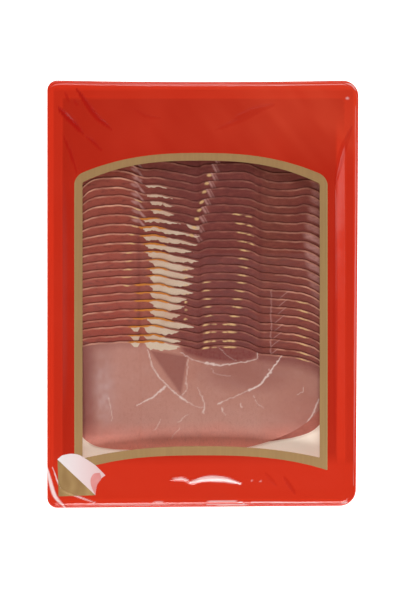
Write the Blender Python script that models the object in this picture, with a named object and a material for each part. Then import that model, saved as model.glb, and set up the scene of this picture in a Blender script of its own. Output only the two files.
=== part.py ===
"""A flat tray pack of sliced raw ham, lying on its tray with the window side up.

Three kinds of piece: a thermoformed tray with a sealing flange, a row of thin
slices laid like roof tiles in the tray, and the film that is sealed over both.
Metres, +Z up, +Y towards the end where the row of slices starts. The origin is on
the underside of the tray, in the middle of the pack.
"""

import math

import bmesh
import bpy
import numpy as np
from mathutils import Vector

# Pack, seen from above
PACK_WIDTH = 0.182
PACK_LENGTH = 0.250
LEFT_CORNER_RADIUS = 0.006
RIGHT_CORNER_RADIUS = 0.0095
FAR_EDGE_BOW = -0.0010  # the far edge of the flange runs in by this much at its middle
RIGHT_END_TRIM = 0.0013  # the near edge is cut this much shorter at its right end
RIGHT_SIDE_TRIM = 0.0016  # and the right side this much narrower at its near end

# Tray
TRAY_WALL = 0.0005
FLANGE_TOP = 0.0110
MOUTH_LEFT = -0.0822
MOUTH_RIGHT = 0.0830
MOUTH_NEAR = -0.1142
MOUTH_FAR = 0.1146
MOUTH_RADIUS = 0.0090
WALL_DRAFT = 0.0018  # how far each wall leans in on its way down
FLOOR_RADIUS = 0.0030

# Slices, counted from the first one laid, at the far end
SLICE_COUNT = 25
SLICE_STEP = 0.00483
SLICE_LENGTH = 0.0650
SLICE_HALF_WIDTH = 0.0736
SLICE_CENTRE_X = -0.0008
SLICE_THICKNESS = 0.00062
SLICE_PITCH = 0.00090  # height that each slice adds where it lies on the others
SLICE_EDGE_STEPS = 26  # points along each long edge
FRONT_SLICE_NEAR = -0.0920  # near end of the last slice laid
LEFT_FULLNESS = 6.0  # superellipse exponents of the near edge
NEAR_EDGE_FULLNESS = 6.0
NEAR_EDGE_TAPER = 0.05
FRONT_NEAR_EDGE_FULLNESS = 2.4  # the last slice is rounder at its near right corner
FRONT_NEAR_EDGE_TAPER = 0.12
TAPER_START_X = -0.0100  # the slices get narrower to the right of this line
TAPER_LIFT = 0.0060
LEFT_LIFT = 0.0022
FAR_EDGE_FULLNESS = 16.0
# Four muscles, each with a bulge of the far edge: where its tops and seams lie across, in
# millimetres, and how far below the highest point it runs there in the first and last slices
RIM_X = (-71.8, -60.1, -51.3, -42.6, -35.0, -26.8, -9.9, -2.9, 1.2, 10.0, 20.5, 33.3, 50.9, 59.0, 70.7)
FIRST_RIM = (1.5, -4.0, -4.4, -2.9, -0.1, 0.0, 2.9, 4.1, 2.7, 1.8, 1.8, 5.2, 7.2, 6.1, 9.8)
LAST_RIM = (2.2, 1.2, 0.7, 0.4, 0.2, 0.0, 3.3, 4.8, 3.3, 2.9, 3.5, 7.5, 9.3, 10.6, 16.2)
RIM_CHANGES = (5.5, 13.2)  # the slices over which the first shape turns into the last

# Film
FILM_THICKNESS = 0.0002
CREST_LEFT = -0.0752  # the film is highest over this rectangle
CREST_RIGHT = 0.0740
CREST_NEAR = -0.0290
CREST_FAR = 0.0240
CREST_RADIUS = 0.0060
CREST_SHARES = (0.12, 0.3, 0.5, 0.75, 1.0)  # rings of the film, from mouth to crest

GAP = 0.0003  # between pieces that touch
SEAL_GAP = 0.00025
ARC_POINTS = 6
SIDE_POINTS = 5

SLICES_FLOOR = TRAY_WALL + GAP
PILE_TOP = SLICES_FLOOR + SLICE_PITCH * SLICE_LENGTH / SLICE_STEP + SLICE_THICKNESS
FILM_UNDERSIDE = FLANGE_TOP + SEAL_GAP
FILM_RISE = PILE_TOP + GAP - FILM_UNDERSIDE


def clear_scene():
    for old in list(bpy.data.objects):
        bpy.data.objects.remove(old, do_unlink=True)


def plastic(name, colour, roughness):
    material = bpy.data.materials.new(name)
    material.use_nodes = True
    shader = material.node_tree.nodes["Principled BSDF"]
    shader.inputs["Base Color"].default_value = (*colour, 1.0)
    shader.inputs["Roughness"].default_value = roughness
    shader.inputs["Metallic"].default_value = 0.0
    return material


def add_object(name, mesh_maker, material):
    """One named object from a finished bmesh."""
    mesh = bpy.data.meshes.new(name)
    mesh_maker.to_mesh(mesh)
    mesh_maker.free()
    mesh.materials.append(material)
    piece = bpy.data.objects.new(name, mesh)
    bpy.context.scene.collection.objects.link(piece)
    return piece


def ring(corners, radii, bows=(0.0, 0.0, 0.0, 0.0)):
    """Points round a four-sided outline: an arc at each corner, then its side."""
    corners = [Vector(corner) for corner in corners]
    points = []
    for number, corner in enumerate(corners):
        after = corners[(number + 1) % 4]
        arriving = (corner - corners[number - 1]).normalized()
        leaving = (after - corner).normalized()
        radius = radii[number]
        centre = corner + radius * (leaving - arriving)
        for step in range(ARC_POINTS):
            turn = 0.5 * math.pi * step / (ARC_POINTS - 1)
            points.append(centre - radius * (math.cos(turn) * leaving - math.sin(turn) * arriving))
        start = corner + radius * leaving
        end = after - radii[(number + 1) % 4] * leaving
        outwards = Vector((leaving.y, -leaving.x))
        for step in range(1, SIDE_POINTS + 1):
            share = step / (SIDE_POINTS + 1)
            bow = bows[number] * 4.0 * share * (1.0 - share)
            points.append(start.lerp(end, share) + bow * outwards)
    return points


def rectangle(left, right, near, far):
    """Corners of a rectangle, anticlockwise from the near left one."""
    return [(left, near), (right, near), (right, far), (left, far)]


def pack_ring():
    """The cut edge of the pack, which is not quite a rectangle."""
    half_width, half_length = PACK_WIDTH / 2, PACK_LENGTH / 2
    corners = [
        (-half_width, -half_length),
        (half_width - RIGHT_SIDE_TRIM, -half_length + RIGHT_END_TRIM),
        (half_width, half_length),
        (-half_width, half_length),
    ]
    radii = (LEFT_CORNER_RADIUS, RIGHT_CORNER_RADIUS, RIGHT_CORNER_RADIUS, LEFT_CORNER_RADIUS)
    return ring(corners, radii, (0.0, 0.0, FAR_EDGE_BOW, 0.0))


def mouth_ring(inset=0.0):
    """The mouth of the tray, or its wall lower down, where it has come in."""
    corners = rectangle(
        MOUTH_LEFT + inset, MOUTH_RIGHT - inset, MOUTH_NEAR + inset, MOUTH_FAR - inset
    )
    return ring(corners, [MOUTH_RADIUS - 0.5 * inset] * 4)


def loft(levels):
    """A closed body through rings of equal length, capped at both ends."""
    maker = bmesh.new()
    loops = [[maker.verts.new(point) for point in points] for points in levels]
    count = len(loops[0])
    for lower, upper in zip(loops, loops[1:]):
        for here in range(count):
            following = (here + 1) % count
            maker.faces.new((lower[here], lower[following], upper[following], upper[here]))
    maker.faces.new(reversed(loops[0]))
    maker.faces.new(loops[-1])
    return maker


def at_height(points, height):
    return [Vector((point.x, point.y, height)) for point in points]


def make_tray(material):
    """Floor, leaning walls and flange in one sheet: up its outside, then down its inside."""
    flange_under = FLANGE_TOP - TRAY_WALL
    curve_inset = WALL_DRAFT + (1.0 - math.sqrt(0.5)) * FLOOR_RADIUS
    curve_height = (1.0 - math.sqrt(0.5)) * FLOOR_RADIUS
    outside = [
        at_height(mouth_ring(WALL_DRAFT + FLOOR_RADIUS), 0.0),
        at_height(mouth_ring(curve_inset), curve_height),
        at_height(mouth_ring(WALL_DRAFT), FLOOR_RADIUS),
        at_height(mouth_ring(0.0), flange_under),
        at_height(pack_ring(), flange_under),
    ]
    inside = [
        at_height(pack_ring(), FLANGE_TOP),
        at_height(mouth_ring(TRAY_WALL), FLANGE_TOP),
        at_height(mouth_ring(TRAY_WALL + WALL_DRAFT), FLOOR_RADIUS),
        at_height(mouth_ring(TRAY_WALL + curve_inset), TRAY_WALL + curve_height),
        at_height(mouth_ring(WALL_DRAFT + FLOOR_RADIUS), TRAY_WALL),
    ]
    return add_object("tray", loft(outside + inside), material)


def ease(value, start, end):
    """From 0 at start to 1 at end, fast at first, level when it arrives."""
    share = min(max((value - start) / (end - start), 0.0), 1.0)
    return math.sin(0.5 * math.pi * share)


def film_height(x, y):
    """Underside of the film: sealed level at the mouth, lifted by the pile of slices."""
    across = ease(x, MOUTH_LEFT, CREST_LEFT) * ease(x, MOUTH_RIGHT, CREST_RIGHT)
    along = ease(y, MOUTH_NEAR, CREST_NEAR) * ease(y, MOUTH_FAR, CREST_FAR)
    return FILM_UNDERSIDE + FILM_RISE * across * along


def make_film(material):
    """The film over the flange and the slices, as rings from its middle out and back."""
    crest = ring(rectangle(CREST_LEFT, CREST_RIGHT, CREST_NEAR, CREST_FAR), [CREST_RADIUS] * 4)
    mouth = mouth_ring()
    rings = [mouth]
    for share in CREST_SHARES:
        rings.append([outer.lerp(inner, share) for outer, inner in zip(mouth, crest)])
    under = [[(p.x, p.y, film_height(p.x, p.y)) for p in points] for points in reversed(rings)]
    over = [[(x, y, z + FILM_THICKNESS) for x, y, z in level] for level in reversed(under)]
    edge_under = at_height(pack_ring(), FILM_UNDERSIDE)
    edge_over = at_height(pack_ring(), FILM_UNDERSIDE + FILM_THICKNESS)
    return add_object("lid_film", loft(under + [edge_under, edge_over] + over), material)


def slice_near(number):
    return FRONT_SLICE_NEAR + (SLICE_COUNT - 1 - number) * SLICE_STEP


def bulge(across, right_fullness, left_fullness):
    """A superellipse: 1 in the middle, 0 at both ends, squarer the fuller it is."""
    fullness = right_fullness if across > 0.0 else left_fullness
    return max(0.0, 1.0 - abs(across) ** fullness) ** (1.0 / fullness)


def rim_drop(number, x):
    """How far the far edge runs below its highest point."""
    start, end = RIM_CHANGES
    laid = min(max((number - start) / (end - start), 0.0), 1.0)
    drops = [first + (last - first) * laid for first, last in zip(FIRST_RIM, LAST_RIM)]
    return 0.001 * float(np.interp(1000.0 * x, RIM_X, drops))


def slice_edge(number, across, far_side):
    """A point of a slice's edge: across runs from -1 at the left end to 1 at the right."""
    x = SLICE_CENTRE_X + SLICE_HALF_WIDTH * across
    taper = max(0.0, (x - TAPER_START_X) / (SLICE_HALF_WIDTH - TAPER_START_X))
    lift = TAPER_LIFT * taper**3 + LEFT_LIFT * max(0.0, -across) ** 4
    middle = slice_near(number) + 0.5 * SLICE_LENGTH + lift
    if far_side:
        top = slice_near(number) + SLICE_LENGTH - rim_drop(number, x)
        return x, middle + (top - middle) * bulge(across, FAR_EDGE_FULLNESS, FAR_EDGE_FULLNESS)
    if number == SLICE_COUNT - 1:
        right_fullness, near_taper = FRONT_NEAR_EDGE_FULLNESS, FRONT_NEAR_EDGE_TAPER
    else:
        right_fullness, near_taper = NEAR_EDGE_FULLNESS, NEAR_EDGE_TAPER
    reach = 0.5 * SLICE_LENGTH * (1.0 - near_taper * taper**2)
    return x, middle - reach * bulge(across, right_fullness, LEFT_FULLNESS)


def slice_outline(number):
    """A slice from above: squarish at the left, narrower and blunter at the right."""
    steps = [-math.cos(math.pi * step / SLICE_EDGE_STEPS) for step in range(SLICE_EDGE_STEPS + 1)]
    near_edge = [slice_edge(number, across, False) for across in steps]
    far_edge = [slice_edge(number, across, True) for across in reversed(steps[1:-1])]
    return near_edge + far_edge


def slice_height(number, y):
    """Underside of a slice: up over the near ends of those below, then level."""
    slices_below = min(max((y - slice_near(number)) / SLICE_STEP, 0.0), number)
    return SLICES_FLOOR + SLICE_PITCH * slices_below


def make_slice(number, material):
    """An outline bent along the near end of the first slice, then given its thickness."""
    maker = bmesh.new()
    maker.faces.new([maker.verts.new((x, y, 0.0)) for x, y in slice_outline(number)])
    bmesh.ops.bisect_plane(
        maker,
        geom=maker.verts[:] + maker.edges[:] + maker.faces[:],
        plane_co=(0.0, slice_near(0), 0.0),
        plane_no=(0.0, 1.0, 0.0),
    )
    for vert in maker.verts:
        vert.co.z = slice_height(number, vert.co.y)
    extruded = bmesh.ops.extrude_face_region(maker, geom=maker.faces[:])
    upper = [item for item in extruded["geom"] if isinstance(item, bmesh.types.BMVert)]
    bmesh.ops.translate(maker, vec=(0.0, 0.0, SLICE_THICKNESS), verts=upper)
    bmesh.ops.recalc_face_normals(maker, faces=maker.faces)
    return add_object(f"slice_{number + 1:02d}", maker, material)


def main():
    clear_scene()
    tray_plastic = plastic("tray_plastic", (0.80, 0.76, 0.69), 0.35)
    printed_film = plastic("printed_film", (0.60, 0.035, 0.012), 0.22)
    raw_ham = plastic("raw_ham", (0.36, 0.13, 0.11), 0.45)
    make_tray(tray_plastic)
    for number in range(SLICE_COUNT):
        make_slice(number, raw_ham)
    make_film(printed_film)


main()
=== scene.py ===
# %% [markdown]
# # A flat pack of sliced raw ham
# The real thing has three layers: a shallow plastic tray, a row of thin slices laid in it like
# roof tiles, and a printed film that is sealed to the tray's flange and lies tight over the pile.
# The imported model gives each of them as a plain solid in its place. This lesson replaces every
# one by a piece with its real surface, and leaves the places and sizes as they are.

# %% Load the frame
import math

import bmesh
import bpy
import numpy as np
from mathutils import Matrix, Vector


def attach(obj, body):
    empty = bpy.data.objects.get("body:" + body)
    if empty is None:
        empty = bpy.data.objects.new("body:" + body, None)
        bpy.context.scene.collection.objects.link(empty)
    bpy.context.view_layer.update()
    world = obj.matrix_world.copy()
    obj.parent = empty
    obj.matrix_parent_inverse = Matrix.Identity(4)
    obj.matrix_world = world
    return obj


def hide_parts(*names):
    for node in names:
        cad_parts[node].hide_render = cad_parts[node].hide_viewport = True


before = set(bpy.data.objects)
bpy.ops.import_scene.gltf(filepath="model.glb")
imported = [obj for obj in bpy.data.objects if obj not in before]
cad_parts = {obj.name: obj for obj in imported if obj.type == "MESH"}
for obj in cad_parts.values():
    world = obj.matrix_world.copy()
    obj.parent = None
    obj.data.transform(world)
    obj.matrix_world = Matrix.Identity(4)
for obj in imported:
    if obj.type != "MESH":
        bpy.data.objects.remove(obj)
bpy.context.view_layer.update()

# %% [markdown]
# ## Measures
# A pack of 182 by 250 mm is easier to think about in millimetres, so every shape below is worked
# out in them and scaled once, when its mesh is made. These are the driving sizes of the pack: its
# cut edge, the mouth of the tray, and the rectangle over which the pile lifts the film most.

# %% Sizes of the pack, in millimetres
MM = 0.001
HALF_WIDTH = 91.0
HALF_LENGTH = 125.0
LEFT_RADIUS = 6.0
RIGHT_RADIUS = 9.5
RIGHT_END_TRIM = 1.3
RIGHT_SIDE_TRIM = 1.6
FAR_EDGE_BOW = -1.0
TRAY_WALL = 0.5
FLANGE_TOP = 11.0
MOUTH = {"left": -82.2, "right": 83.0, "near": -114.2, "far": 114.6}
MOUTH_RADIUS = 9.0
WALL_DRAFT = 1.8
FLOOR_RADIUS = 3.0
CREST = {"left": -75.2, "right": 74.0, "near": -29.0, "far": 24.0}
FILM_TOP = 11.45
FILM_RISE = 2.58
FILM_THICKNESS = 0.12

# %% Sizes of the slices, in millimetres
SLICE_COUNT = 25
SLICE_STEP = 4.83
SLICE_LENGTH = 65.0
SLICE_HALF_WIDTH = 73.6
SLICE_CENTRE = -0.8
SLICE_THICKNESS = 0.62
SLICE_PITCH = 0.90
SLICES_FLOOR = 0.8
FRONT_SLICE_NEAR = -92.0
LEFT_FULLNESS = 6.0
NEAR_EDGE_FULLNESS = 6.0
NEAR_EDGE_TAPER = 0.05
FRONT_NEAR_EDGE_FULLNESS = 2.4
FRONT_NEAR_EDGE_TAPER = 0.12
TAPER_START = -10.0
TAPER_LIFT = 6.0
LEFT_LIFT = 2.2
FAR_EDGE_FULLNESS = 16.0
# The far edge from left to right, as its drop below the highest point, in the first and last slices
RIM_X = (-71.8, -65.9, -60.1, -51.3, -42.6, -35.0, -26.8, -18.0, -9.9, -2.9,
         1.2, 10.0, 20.5, 27.5, 33.3, 40.4, 50.9, 59.0, 64.9, 70.7)
FIRST_RIM = (1.5, -2.5, -4.0, -4.4, -2.9, -0.1, 0.0, 1.6, 2.9, 4.1,
             2.7, 1.8, 1.8, 2.5, 5.2, 7.2, 7.2, 6.1, 6.9, 9.8)
LAST_RIM = (2.2, 1.8, 1.2, 0.7, 0.4, 0.2, 0.0, 1.7, 3.3, 4.8,
            3.3, 2.9, 3.5, 5.0, 7.5, 8.2, 9.3, 10.6, 12.8, 16.2)
RIM_CHANGES = (5.5, 13.2)
SEAMS = (-37.5, -2.0, 33.5)
print("slices:", SLICE_COUNT, "one every", SLICE_STEP, "mm")

# %% [markdown]
# ## Small tools
# Three helpers carry most of the work. `soft_noise` gives smooth random hills that come out the
# same on every run. `route_distance` tells how far each point is from a line through given points, and
# how far along it; folds in the film and veins in the ham are both drawn that way. `smooth_line`
# turns a few given points into a curve.


# %% Smooth random hills
def soft_noise(x, y, seed):
    """Values between -1 and 1 that change smoothly over one unit of x and y."""
    size = 64
    table = np.random.default_rng(seed).uniform(-1.0, 1.0, (size, size))
    x, y = np.broadcast_arrays(np.asarray(x, float), np.asarray(y, float))
    column, row = np.floor(x).astype(int), np.floor(y).astype(int)
    over, up = x - column, y - row
    over = over * over * (3.0 - 2.0 * over)
    up = up * up * (3.0 - 2.0 * up)
    lower = table[row % size, column % size] * (1 - over) + table[row % size, (column + 1) % size] * over
    row = row + 1
    upper = table[row % size, column % size] * (1 - over) + table[row % size, (column + 1) % size] * over
    return lower * (1.0 - up) + upper * up


# %% Lines through given points
def smooth_line(knots, count):
    """Points along a smooth curve through the knots, evenly spaced."""
    knots = np.array(knots, float)
    padded = np.vstack([2 * knots[0] - knots[1], knots, 2 * knots[-1] - knots[-2]])
    spans = []
    for index in range(len(knots) - 1):
        before, start, end, after = padded[index : index + 4]
        share = np.linspace(0.0, 1.0, 20, endpoint=index == len(knots) - 2)[:, None]
        cubic = (2 * before - 5 * start + 4 * end - after) * share**2
        cubic += (3 * start - before - 3 * end + after) * share**3
        spans.append(start + 0.5 * ((end - before) * share + cubic))
    dense = np.vstack(spans)
    travelled = np.concatenate([[0.0], np.cumsum(np.hypot(*np.diff(dense, axis=0).T))])
    wanted = np.linspace(0.0, travelled[-1], count)
    return np.column_stack([np.interp(wanted, travelled, dense[:, axis]) for axis in (0, 1)])


def route_distance(x, y, knots):
    """Distance to a smooth route, and the share of it travelled."""
    route = smooth_line(knots, 8 * len(knots))
    nearest = np.full(np.shape(x), 1e6)
    travelled = np.zeros(np.shape(x))
    last = len(route) - 1
    for index, (start, end) in enumerate(zip(route, route[1:])):
        along = end - start
        share = ((x - start[0]) * along[0] + (y - start[1]) * along[1]) / (along @ along)
        share = np.clip(share, 0.0, 1.0)
        over_x = x - start[0] - share * along[0]
        over_y = y - start[1] - share * along[1]
        distance = np.hypot(over_x, over_y)
        closer = distance < nearest
        nearest = np.where(closer, distance, nearest)
        travelled = np.where(closer, (index + share) / last, travelled)
    return nearest, travelled


print("hills:", soft_noise([0.5, 1.5], 0.5, 1))

# %% [markdown]
# ## Sheets
# Film, foil and slices are all sheets. The simplest way to a sheet with a tidy flow of faces is
# a bmesh grid whose rows are laid along lines: the grid operator makes the faces, and each vertex
# is moved to the point of its row and column. A ring is the same grid with its two ends welded.


# %% A grid laid along lines
WELD = 1e-7
SHARP_ANGLE = math.radians(50.0)


def sheet(lines, closed=False):
    """A grid with its rows along lines: an array of rows, columns and x, y, z in millimetres."""
    if closed:
        lines = np.concatenate([lines, lines[:, :1]], axis=1)
    rows, columns = lines.shape[0] - 1, lines.shape[1] - 1
    maker = bmesh.new()
    bmesh.ops.create_grid(maker, x_segments=columns, y_segments=rows, size=0.5)
    for vert in maker.verts:
        column = round((vert.co.x + 0.5) * columns)
        row = round((vert.co.y + 0.5) * rows)
        vert.co = lines[row, column] * MM
    bmesh.ops.remove_doubles(maker, verts=maker.verts, dist=WELD)
    bmesh.ops.dissolve_degenerate(maker, edges=maker.edges, dist=WELD)
    if sum(face.normal.z * face.calc_area() for face in maker.faces) < 0.0:
        bmesh.ops.reverse_faces(maker, faces=maker.faces)
    return maker


def thicken(maker, thickness):
    """Gives a sheet its thickness, below the surface that was modelled."""
    maker.normal_update()
    bmesh.ops.solidify(maker, geom=maker.faces[:], thickness=thickness * MM)
    return maker


def add_piece(name, maker, finish, node):
    """A finished bmesh as a piece that rides on the pack and stands for a node of the frame."""
    mesh = bpy.data.meshes.new(name)
    maker.to_mesh(mesh)
    maker.free()
    mesh.shade_smooth()
    mesh.set_sharp_from_angle(angle=SHARP_ANGLE)
    mesh.materials.append(finish.material)
    piece = bpy.data.objects.new(name, mesh)
    bpy.context.scene.collection.objects.link(piece)
    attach(piece, "root")
    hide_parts(node)
    print("piece:", name, len(mesh.polygons), "faces")
    return piece


def coordinates(piece):
    """The vertices of a piece, in millimetres, as three arrays."""
    flat = np.empty(3 * len(piece.data.vertices), np.float32)
    piece.data.vertices.foreach_get("co", flat)
    return (flat.reshape(-1, 3) / MM).T.astype(float)


def store(piece, name, values):
    """Keeps a number on every vertex of a piece, for its material to read."""
    layer = piece.data.attributes.new(name, "FLOAT", "POINT")
    layer.data.foreach_set("value", np.asarray(values, np.float32))


print("sheets: doubles welded within", WELD, "m")

# %% [markdown]
# ## Outlines
# The cut edge of the pack, the mouth of the tray and the two edges of the printed frame are four
# sides with rounded corners. If all of them have their points in the same order, any two can be
# joined by a ring sheet. A side is a function from a share of its length to a point, and a corner
# is a conic: with the right weight it is a true arc, whatever the angle between the sides.

# %% Sides, corners and rings
CORNER_COLUMNS = 10
SIDE_COLUMNS = (200, 250, 200, 250)


def straight(start, end, bow=0.0):
    """A side from corner to corner, bowed outwards by so much at its middle."""
    start, end = np.array(start, float), np.array(end, float)
    along = (end - start) / np.hypot(*(end - start))
    outwards = np.array([along[1], -along[0]])
    return lambda share: start + (end - start) * share + 4.0 * bow * share * (1.0 - share) * outwards


def arch(start_x, end_x, centre, middle_y, sag, reach, power):
    """A side that is highest, or lowest, at its centre and falls away as a power of x."""

    def point(share):
        x = start_x + (end_x - start_x) * share
        return np.array([x, middle_y - sag * (abs(x - centre) / reach) ** power])

    return point


def corner_points(before, corner, after):
    """An arc from one side to the next, as a conic with the weight of a circle."""
    arriving, leaving = corner - before, after - corner
    cosine = arriving @ leaving / (np.hypot(*arriving) * np.hypot(*leaving))
    weight = math.sqrt(0.5 * (1.0 + cosine))
    points = []
    for step in range(CORNER_COLUMNS):
        share = step / CORNER_COLUMNS
        parts = ((1 - share) ** 2, 2 * weight * share * (1 - share), share**2)
        blend = parts[0] * before + parts[1] * corner + parts[2] * after
        points.append(blend / sum(parts))
    return points


def outline(sides, reaches):
    """Points round four sides, anticlockwise from the near left corner."""
    lengths = [np.hypot(*(side(1.0) - side(0.0))) for side in sides]
    points = []
    for number, side in enumerate(sides):
        first = reaches[number] / lengths[number]
        last = 1.0 - reaches[(number + 1) % 4] / lengths[number]
        before = sides[number - 1](1.0 - reaches[number] / lengths[number - 1])
        points += corner_points(before, side(0.0), side(first))
        steps = SIDE_COLUMNS[number]
        points += [side(first + (last - first) * step / steps) for step in range(steps)]
    return np.array(points)


def pack_outline(inset=0.0):
    """The cut edge of the pack, or a line that runs inside it."""
    wide, long = HALF_WIDTH - inset, HALF_LENGTH - inset
    near_left = (-wide, -long)
    near_right = (wide - RIGHT_SIDE_TRIM, -long + RIGHT_END_TRIM)
    far_right = (wide, long)
    far_left = (-wide, long)
    sides = (
        straight(near_left, near_right),
        straight(near_right, far_right),
        straight(far_right, far_left, FAR_EDGE_BOW),
        straight(far_left, near_left),
    )
    return outline(sides, [r - inset for r in (LEFT_RADIUS, RIGHT_RADIUS, RIGHT_RADIUS, LEFT_RADIUS)])


def mouth_outline(inset=0.0):
    """The mouth of the tray, or its wall lower down."""
    left, right = MOUTH["left"] + inset, MOUTH["right"] - inset
    near, far = MOUTH["near"] + inset, MOUTH["far"] - inset
    corners = [(left, near), (right, near), (right, far), (left, far)]
    sides = [straight(corners[number], corners[(number + 1) % 4]) for number in range(4)]
    return outline(sides, [max(MOUTH_RADIUS - 0.5 * inset, 2.0)] * 4)


def frame_outline(left, right, near_arch, far_arch, far_reach, near_reach=0.6):
    """The printed frame's edge: upright sides between two arched ends."""
    near_side = arch(left, right, *near_arch)
    far_side = arch(right, left, *far_arch)
    sides = (
        near_side,
        straight(near_side(1.0), far_side(0.0)),
        far_side,
        straight(far_side(1.0), near_side(0.0)),
    )
    return outline(sides, [near_reach, near_reach, far_reach, far_reach])


FRAME_OUTER_LEFT, FRAME_OUTER_RIGHT = -75.0, 72.7
FRAME_INNER_LEFT, FRAME_INNER_RIGHT = -70.25, 68.15
OUTER_NEAR_ARCH = (0.0, -94.1, 8.8, 73.0, 2.7)
OUTER_FAR_ARCH = (-1.7, 82.4, 13.9, 74.0, 2.5)
INNER_NEAR_ARCH = (0.0, -88.7, 6.9, 69.0, 2.3)
INNER_FAR_ARCH = (-1.9, 77.95, 15.6, 74.0, 2.6)
pack_edge = pack_outline()
frame_outer = frame_outline(FRAME_OUTER_LEFT, FRAME_OUTER_RIGHT, OUTER_NEAR_ARCH, OUTER_FAR_ARCH, 4.9)
frame_inner = frame_outline(FRAME_INNER_LEFT, FRAME_INNER_RIGHT, INNER_NEAR_ARCH, INNER_FAR_ARCH, 0.8)
print("outlines:", len(pack_edge), "points each")

# %% [markdown]
# ## Shader maths
# A material that follows a real finish needs some arithmetic. Wired by hand it would be a wall
# of Math nodes, so a small class wraps a socket and lets an ordinary Python expression build
# them. One method makes any other node. Colours are mixed by Mix nodes, because a Math node would
# turn them grey, and whatever is the same all over the surface is set on the shader itself.


# %% A socket with arithmetic
class Signal:
    """An output socket of a material that can be used in a Python expression."""

    def __init__(self, finish, socket):
        self.finish = finish
        self.socket = socket

    def math(self, operation, first, second, clamp=False):
        settings = {"operation": operation, "use_clamp": clamp}
        return self.finish.node("ShaderNodeMath", settings, {0: first, 1: second})

    def __add__(self, other):
        return self.math("ADD", self, other)

    def __radd__(self, other):
        return self.math("ADD", other, self)

    def __sub__(self, other):
        return self.math("SUBTRACT", self, other)

    def __rsub__(self, other):
        return self.math("SUBTRACT", other, self)

    def __mul__(self, other):
        return self.math("MULTIPLY", self, other)

    def __rmul__(self, other):
        return self.math("MULTIPLY", other, self)

    def __truediv__(self, other):
        return self.math("DIVIDE", self, other)

    def clamped(self):
        return self.math("ADD", self, 0.0, clamp=True)


class Finish:
    """A material with a Principled shader, and the one method that adds nodes to it."""

    def __init__(self, name, constants):
        self.material = bpy.data.materials.new(name)
        self.material.use_nodes = True
        self.tree = self.material.node_tree
        self.shader = self.tree.nodes["Principled BSDF"]
        self.feed(constants)

    def connect(self, socket, value):
        if isinstance(value, Signal):
            self.tree.links.new(value.socket, socket)
        else:
            socket.default_value = value

    def feed(self, inputs):
        for name, value in inputs.items():
            self.connect(self.shader.inputs[name], value)

    def node(self, kind, settings=None, inputs=None, output=0):
        made = self.tree.nodes.new(kind)
        for name, value in (settings or {}).items():
            if name == "stops":
                set_stops(made.color_ramp, value)
            else:
                setattr(made, name, value)
        for name, value in (inputs or {}).items():
            self.connect(made.inputs[name], value)
        return Signal(self, made.outputs[output])

    def mix(self, share, first, second):
        settings = {"data_type": "RGBA", "clamp_factor": True}
        return self.node("ShaderNodeMix", settings, {0: share, 6: first, 7: second}, 2)

    def place(self):
        """The point on the object, in metres."""
        return self.node("ShaderNodeTexCoord", output="Object")

    def axis(self, vector, name):
        return self.node("ShaderNodeSeparateXYZ", inputs={"Vector": vector}, output=name)

    def noise(self, vector, scale, detail=2.0, roughness=0.5):
        inputs = {"Vector": vector, "Scale": scale, "Detail": detail, "Roughness": roughness}
        return self.node("ShaderNodeTexNoise", inputs=inputs)

    def stretched(self, vector, scale):
        settings = {"operation": "MULTIPLY"}
        return self.node("ShaderNodeVectorMath", settings, {0: vector, 1: scale})

    def attribute(self, name):
        return self.node("ShaderNodeAttribute", {"attribute_name": name}, output="Fac")

    def bump(self, height, strength, distance):
        inputs = {"Height": height, "Strength": strength, "Distance": distance}
        return self.node("ShaderNodeBump", inputs=inputs)


def set_stops(ramp, stops):
    """Fills a colour ramp from pairs of position and colour."""
    while len(ramp.elements) > 1:
        ramp.elements.remove(ramp.elements[-1])
    for number, (position, colour) in enumerate(stops):
        element = ramp.elements[0] if number == 0 else ramp.elements.new(position)
        element.position = position
        element.color = colour


def shade(red, green, blue):
    """A colour given as on a screen, 0 to 255, as the linear numbers that shaders use."""
    linear = []
    for level in (red, green, blue):
        level = level / 255.0
        linear.append(level / 12.92 if level <= 0.04045 else ((level + 0.055) / 1.055) ** 2.4)
    return (*linear, 1.0)


print("shade(128, 128, 128) =", shade(128, 128, 128))

# %% [markdown]
# ## The tray
# A thermoformed tray is one sheet of off-white plastic drawn down into a mould, so every edge is
# an arc and the wall leans a little. It could be a box with bevels, but a section swept round the
# two outlines gives the rolled edge of the flange, the soft lip of the mouth and the floor radius
# in one go. The solidify operator then adds the wall below that surface.

# %% Tray finish
tray_finish = Finish("tray_plastic", {"Roughness": 0.38, "Coat Weight": 0.1})
# painted glow: a faint cream emission stands in for light that thin white plastic lets in from all round,
# so the corners of the well never go dark
tray_finish.feed({"Emission Color": shade(246, 226, 206), "Emission Strength": 0.31})
cloud = tray_finish.noise(tray_finish.place(), 40.0)
TRAY_LIGHT = shade(238, 228, 214)
TRAY_DEEP = shade(224, 210, 192)
tray_finish.feed({"Base Color": tray_finish.mix(cloud, TRAY_DEEP, TRAY_LIGHT)})
tray_grain = tray_finish.noise(tray_finish.place(), 900.0)
tray_finish.feed({"Normal": tray_finish.bump(tray_grain, 0.1, 0.0001)})

print("tray finish:", len(tray_finish.tree.nodes), "nodes")

# %% Tray section, from the flange's edge to the middle of the floor
LIP_RADIUS = 0.6
FLANGE_EDGE_INSET = 0.3
FLOOR_MARGINS = (3.0, 6.0)


def quarter_arc(radius, steps, turned):
    """Inset and height along a quarter of a circle: over a lip, or turned, into a floor."""
    for step in range(1, steps + 1):
        angle = 0.5 * math.pi * step / steps
        if turned:
            yield radius * (1.0 - math.cos(angle)), radius * (1.0 - math.sin(angle))
        else:
            yield radius * math.sin(angle), -radius * (1.0 - math.cos(angle))


def level(points, height):
    return np.column_stack([points, np.full(len(points), height)])


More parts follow.
